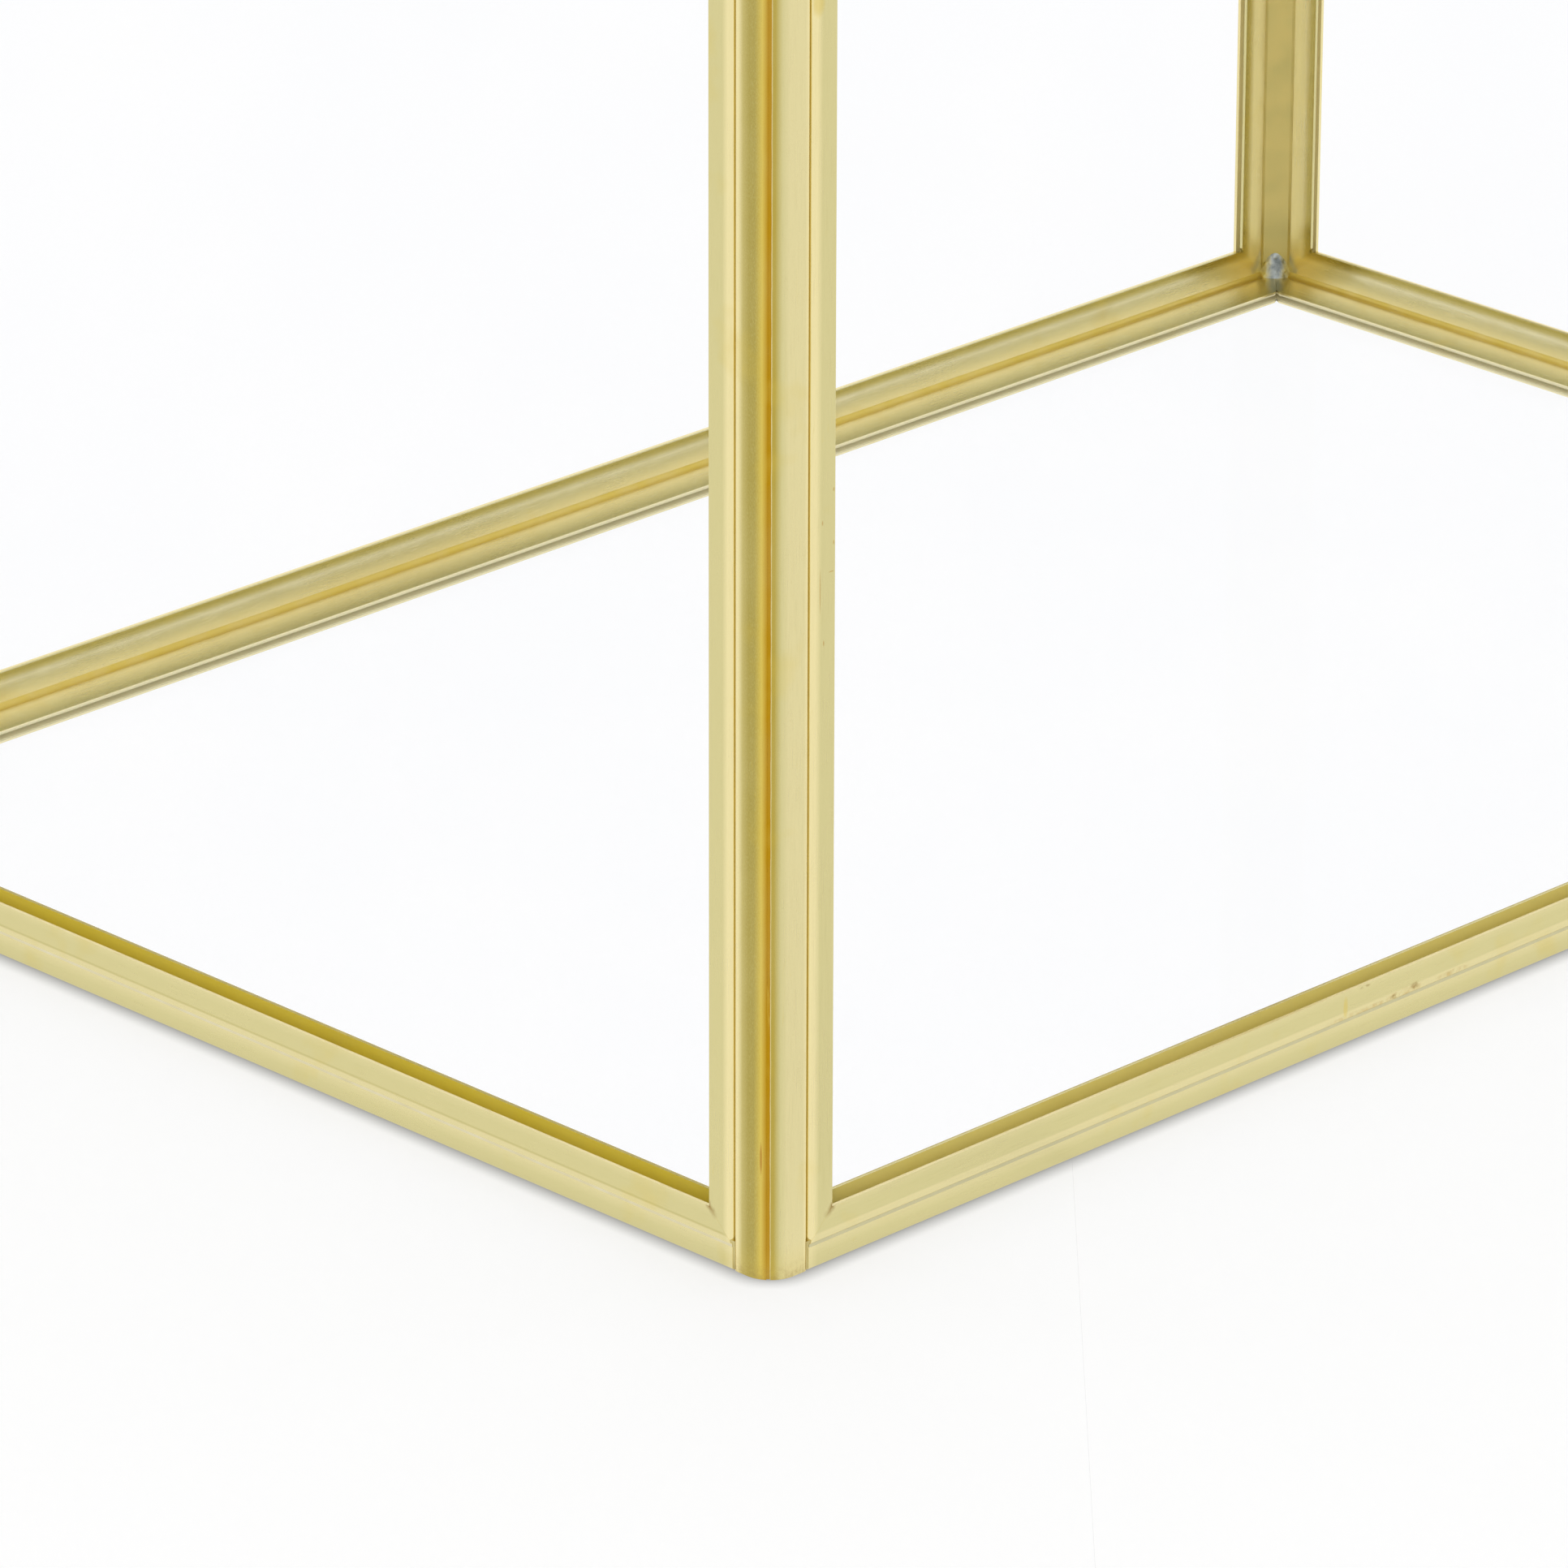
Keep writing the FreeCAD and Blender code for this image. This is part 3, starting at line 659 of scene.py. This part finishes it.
def dress():
    """Give each node its material."""
    made = {
        "post": post_brass(),
        "upright_x": channel_brass("upright_brass_x", "x", "z", MATTE_REFLECTION_UPRIGHT),
        "upright_y": channel_brass("upright_brass_y", "y", "z", MATTE_REFLECTION_UPRIGHT),
        "level_x": channel_brass("level_brass_x", "x", "y", MATTE_REFLECTION_LEFT),
        "level_y": channel_brass("level_brass_y", "y", "x", MATTE_REFLECTION_FRONT),
        "base_x": base_brass("base_brass_x", "x"),
        "base_y": base_brass("base_brass_y", "y"),
        "lid_x": lid_brass("lid_brass_x", "x"),
        "lid_y": lid_brass("lid_brass_y", "y"),
        "hinge": hinge_brass(),
        "glass": clear_glass(),
        "solder": solder_grey()}
    for name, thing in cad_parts.items():
        end_side = name.startswith(("left", "right")) or name.endswith(("left", "right"))
        if "glass" in name or "solder" in name:
            kind = "glass" if "glass" in name else "solder"
        elif name.startswith("corner_post"):
            kind = "post"
        elif "_channel_" in name:
            kind = ("upright_" if "upright" in name else "level_") + ("x" if end_side else "y")
        elif name.startswith("base_rail"):
            kind = "base_x" if end_side else "base_y"
        elif name.startswith(("lid_rail", "slot_")):
            kind = "lid_y" if end_side else "lid_x"
        else:
            kind = "hinge"
        thing.data.materials.clear()
        thing.data.materials.append(made[kind])
    return made


def prism(name, outline, reach, material):
    """Closed prism from a flat outline along a reach, in millimetres, which rides on the box."""
    count = len(outline)
    points = [Vector(point) * MM for point in outline]
    points += [(Vector(point) + Vector(reach)) * MM for point in outline]
    faces = [(i, (i + 1) % count, (i + 1) % count + count, i + count) for i in range(count)]
    faces += [tuple(reversed(range(count))), tuple(range(count, 2 * count))]
    made = bmesh.new()
    places = [made.verts.new(point) for point in points]
    for face in faces:
        made.faces.new([places[i] for i in face]).smooth = True
    bmesh.ops.recalc_face_normals(made, faces=made.faces)
    mesh = bpy.data.meshes.new(name)
    made.to_mesh(mesh)
    made.free()
    mesh.set_sharp_from_angle(angle=math.radians(SHARP_ABOVE))
    mesh.materials.append(material)
    piece = bpy.data.objects.new(name, mesh)
    bpy.context.scene.collection.objects.link(piece)
    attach(piece, "box")


def arc(middle, radius, first, last):
    """Places on an arc in a plane, between two angles in degrees."""
    turns = [math.radians(first + (last - first) * step / ARC_STEPS) for step in range(ARC_STEPS + 1)]
    return [(middle + radius * math.cos(turn), middle + radius * math.sin(turn)) for turn in turns]


def around(draw):
    """Call draw(name, place, half) for the four sides, where place(depth, along, z) is a point there."""
    draw("left", lambda depth, along, z: (depth - HALF_X, along, z), HALF_Y)
    draw("right", lambda depth, along, z: (HALF_X - depth, along, z), HALF_Y)
    draw("front", lambda depth, along, z: (along, depth - HALF_Y, z), HALF_X)
    draw("back", lambda depth, along, z: (along, HALF_Y - depth, z), HALF_X)


def corners():
    """Name of each corner with place(x, y, z), a point that far in from its two outer faces."""
    def at(turn_x, turn_y):
        return lambda x, y, z: (turn_x * (HALF_X - x), turn_y * (HALF_Y - y), z)

    ends = (("left", -1), ("right", 1))
    sides = (("front", -1), ("back", 1))
    return [(side + "_" + end, at(turn_x, turn_y)) for end, turn_x in ends for side, turn_y in sides]


def outer_seams():
    """Solder in the level seams between side frames and base rails. On the two ends it is pale and wide,
    a painted highlight along the crease; on the front and back it is a fine grey line.
    """
    pale = seam_solder("pale_seam", *SEAM_PALE, (RAIL_TOP + SIDE_BOTTOM) / 2)
    grey = seam_solder("grey_seam", *SEAM_GREY)

    def draw(name, place, half):
        end = half - POST_CLEAR
        painted_highlight_side = name in ("left", "right")
        low = RAIL_TOP - SEAM_OVERLAP
        high = SIDE_BOTTOM + (SEAM_OVERLAP if painted_highlight_side else SEAM_LINE)
        section = [(SEAM_SINK, low), (FILL_DEPTH, low), (FILL_DEPTH, high), (SEAM_SINK, high)]
        outline = [place(depth, -end, z) for depth, z in section]
        reach = Vector(place(0, end, 0)) - Vector(place(0, -end, 0))
        prism("seam_" + name, outline, reach, pale if painted_highlight_side else grey)

    around(draw)


def mitre_seams(made):
    """Solder, filed flush, in the mitres of the side frames, on the outer and on the inner leg."""
    legs = (("outer", SEAM_SINK, OUTER_LEG), ("inner", CHANNEL_DEPTH - FILL_DEPTH, INNER_LEG))

    def diagonal(leg):
        low = MITRE_START + MITRE_WIDTH / 2
        high = leg - MITRE_WIDTH / 2
        return [(low, MITRE_START), (leg, high), (leg, leg), (high, leg), (MITRE_START, low)]

    def draw(name, place, half):
        brass = made["level_x" if name in ("left", "right") else "level_y"]
        start = half - POST_CLEAR
        reach = Vector(place(FILL_DEPTH - SEAM_SINK, 0, 0)) - Vector(place(0, 0, 0))
        for layer, depth, leg in legs:
            for end, turn in (("a", -1), ("b", 1)):
                for level, foot, rise in (("low", SIDE_BOTTOM, 1), ("high", RIM, -1)):
                    outline = [place(depth, turn * (start - along), foot + rise * up)
                               for along, up in diagonal(leg)]
                    prism("_".join(("mitre", name, layer, level, end)), outline, reach, brass)

    around(draw)


def inner_seams():
    """Hollow run of solder along the foot of the side frames inside the box; its gold tone is a painted
    reflection of the brass around it.
    """
    gold = seam_solder("crease_gold", CREASE_GOLD, GOLD)
    deep = CHANNEL_DEPTH - CREASE_SEAT
    low = RAIL_TOP - CREASE_SINK
    section = [(deep + CREASE + depth, low + CREASE + z) for depth, z in arc(0, CREASE, 180, 270)]
    section.append((deep, low))

    def draw(name, place, half):
        end = half - CHANNEL_DEPTH
        outline = [place(depth, -end, z) for depth, z in section]
        prism("inner_seam_" + name, outline, Vector(place(0, end, 0)) - Vector(place(0, -end, 0)), gold)

    around(draw)


def corner_strips():
    """Hollow run of solder that closes each post between the two side frames, inside the box."""
    gold = seam_solder("corner_gold", CORNER_GOLD, KHAKI)
    deep = CHANNEL_DEPTH - CORNER_SEAT
    wide = POST_CLEAR + CORNER_LAP
    radius = (wide - deep) * CORNER_ROUND
    middle = (deep + wide) / 2 + math.sqrt(radius ** 2 - (wide - deep) ** 2 / 2) * DIAGONAL
    spread = math.degrees(math.asin((wide - deep) * DIAGONAL / radius))
    back = deep - CORNER_BACK
    section = arc(middle, radius, 225 - spread, 225 + spread) + [(wide, back), (back, wide)]
    low = RAIL_TOP + CORNER_END
    for name, place in corners():
        outline = [place(x, y, low) for x, y in section]
        prism("corner_strip_" + name, outline, (0, 0, RIM - CORNER_END - low), gold)


def post_ends():
    """Solder that closes the top of each hollow post, just under the rim."""
    gold = seam_solder("end_solder", STRIP, KHAKI)
    edge = POST_CLEAR - PLUG_SIDE
    back = CHANNEL_DEPTH - PLUG_BACK
    section = arc(POST_ROUND, POST_ROUND - POST_WALL, 180, 270)
    section += [(edge, POST_WALL), (edge, back), (back, edge), (POST_WALL, edge)]
    for name, place in corners():
        outline = [place(x, y, RIM - PLUG_DEPTH) for x, y in section]
        prism("post_end_" + name, outline, (0, 0, PLUG_HEIGHT), gold)


def butt_seams():
    """Line of solder where the end of a base rail and of the frame above it meet their post."""
    brown = seam_solder("brown_seam", *SEAM_BROWN)
    past = POST_CLEAR + BUTT_LAP
    short = POST_CLEAR - BUTT_RUN
    section = ((BUTT_SINK, short), (BUTT_DEPTH, short), (BUTT_DEPTH, past), (BUTT_SINK, past))
    reach = (0, 0, SIDE_BOTTOM + BUTT_RISE - BUTT_FOOT)
    for name, place in corners():
        end = [place(depth, along, BUTT_FOOT) for depth, along in section]
        prism("butt_end_" + name, end, reach, brown)
        long = [place(along, depth, BUTT_FOOT) for depth, along in section]
        prism("butt_long_" + name, long, reach, brown)


def add_camera():
    """Camera at the photograph's place and angle."""
    yaw = math.radians(CAMERA_YAW)
    pitch = math.radians(CAMERA_PITCH)
    level = math.cos(pitch)
    forward = Vector((level * math.cos(yaw), level * math.sin(yaw), -math.sin(pitch)))
    right = Vector((math.sin(yaw), -math.cos(yaw), 0))
    up = right.cross(forward)
    roll = Matrix.Rotation(-math.radians(CAMERA_ROLL), 3, "Z")
    turn = Matrix((right, up, -forward)).transposed() @ roll
    data = bpy.data.cameras.new("camera")
    data.sensor_width = SENSOR
    data.lens = LENS
    data.clip_end = CLIP_END
    camera = bpy.data.objects.new("camera", data)
    camera.matrix_world = Matrix.Translation(CAMERA_PLACE) @ turn.to_4x4()
    bpy.context.scene.collection.objects.link(camera)
    bpy.context.scene.camera = camera


def seen_directly(tree):
    """1 for rays that show the background: straight from the camera, mirrored or through glass.
    Rays that left a dull surface only bring light, so they keep the plain level."""
    path = tree.nodes.new("ShaderNodeLightPath")
    result = path.outputs["Is Camera Ray"]
    for name in ("Is Glossy Ray", "Is Transmission Ray"):
        both = tree.nodes.new("ShaderNodeMath")
        both.operation = "MAXIMUM"
        tree.links.new(result, both.inputs[0])
        tree.links.new(path.outputs[name], both.inputs[1])
        result = both.outputs[0]
    shown = tree.nodes.new("ShaderNodeMath")
    shown.operation = "SUBTRACT"
    shown.use_clamp = True
    tree.links.new(result, shown.inputs[0])
    tree.links.new(path.outputs["Diffuse Depth"], shown.inputs[1])
    return shown.outputs[0]


def contact_shade(graph):
    """White that is left on the floor: less in a line along the foot of the box, all under the glass."""
    contact = graph.tree.nodes.new("ShaderNodeAmbientOcclusion")
    graph.put(CONTACT_REACH * MM, contact.inputs["Distance"])
    shade = graph.spread(contact.outputs["AO"], CONTACT_CLOSED, 1.0, CONTACT_SHADE, 1.0)
    under = graph.math("MINIMUM", from_side(graph, "x"), from_side(graph, "y"))
    return graph.math("MAXIMUM", shade, graph.math("GREATER_THAN", under, POST_CLEAR))


def floor_white():
    """Plain white. Its lit share keeps the shadow, faintly where it is mirrored or seen through glass."""
    graph = Graph("white_floor")
    nodes = graph.tree.nodes
    shade = contact_shade(graph)
    seen = seen_directly(graph.tree)
    lit = graph.math("MULTIPLY", shade, graph.spread(seen, 0.0, 1.0, FLOOR_BOUNCE, FLOOR_SHARE))
    graph.put(graph.mix(lit, (0, 0, 0), (1, 1, 1)), graph.shader.inputs["Base Color"])
    graph.put(1.0, graph.shader.inputs["Roughness"])
    graph.put(0.0, graph.shader.inputs["Specular IOR Level"])
    graph.put((1, 1, 1, 1), graph.shader.inputs["Emission Color"])
    glow = graph.math("MULTIPLY", seen, 1 - FLOOR_SHARE)
    graph.put(graph.math("MULTIPLY", glow, shade), graph.shader.inputs["Emission Strength"])
    path = nodes.new("ShaderNodeLightPath")
    white = nodes.new("ShaderNodeEmission")
    either = nodes.new("ShaderNodeMixShader")
    graph.put(graph.math("MULTIPLY", path.outputs["Is Glossy Ray"], FLOOR_MIRRORED), either.inputs[0])
    graph.put(graph.shader.outputs[0], either.inputs[1])
    graph.put(white.outputs[0], either.inputs[2])
    graph.put(either.outputs[0], nodes["Material Output"].inputs["Surface"])
    return graph.material


def add_floor():
    """One wide level face."""
    mesh = bpy.data.meshes.new("floor")
    half = FLOOR_SIZE / 2
    square = [(-half, -half, 0), (half, -half, 0), (half, half, 0), (-half, half, 0)]
    mesh.from_pydata(square, [], [(0, 1, 2, 3)])
    mesh.materials.append(floor_white())
    floor = bpy.data.objects.new("floor", mesh)
    bpy.context.scene.collection.objects.link(floor)


def add_light():
    """Even light from all round, and a soft key overhead. The brass doesn't mirror the key."""
    world = bpy.data.worlds.new("studio")
    world.use_nodes = True
    tree = world.node_tree
    level = tree.nodes.new("ShaderNodeMath")
    level.operation = "MULTIPLY_ADD"
    tree.links.new(seen_directly(tree), level.inputs[0])
    level.inputs[1].default_value = 1 - SKY_SHARE
    level.inputs[2].default_value = SKY_SHARE
    tree.links.new(level.outputs[0], tree.nodes["Background"].inputs["Strength"])
    tree.nodes["Background"].inputs["Color"].default_value = (1, 1, 1, 1)
    bpy.context.scene.world = world

    data = bpy.data.lights.new("key", "SUN")
    data.angle = math.radians(KEY_SOFTNESS)
    data.energy = math.pi * (1 - SKY_SHARE)
    key = bpy.data.objects.new("key", data)
    key.visible_glossy = False
    key.visible_transmission = False
    bpy.context.scene.collection.objects.link(key)


materials = dress()
outer_seams()
inner_seams()
corner_strips()
post_ends()
butt_seams()
mitre_seams(materials)
add_camera()
add_floor()
add_light()
bpy.context.scene.view_settings.view_transform = "Standard"
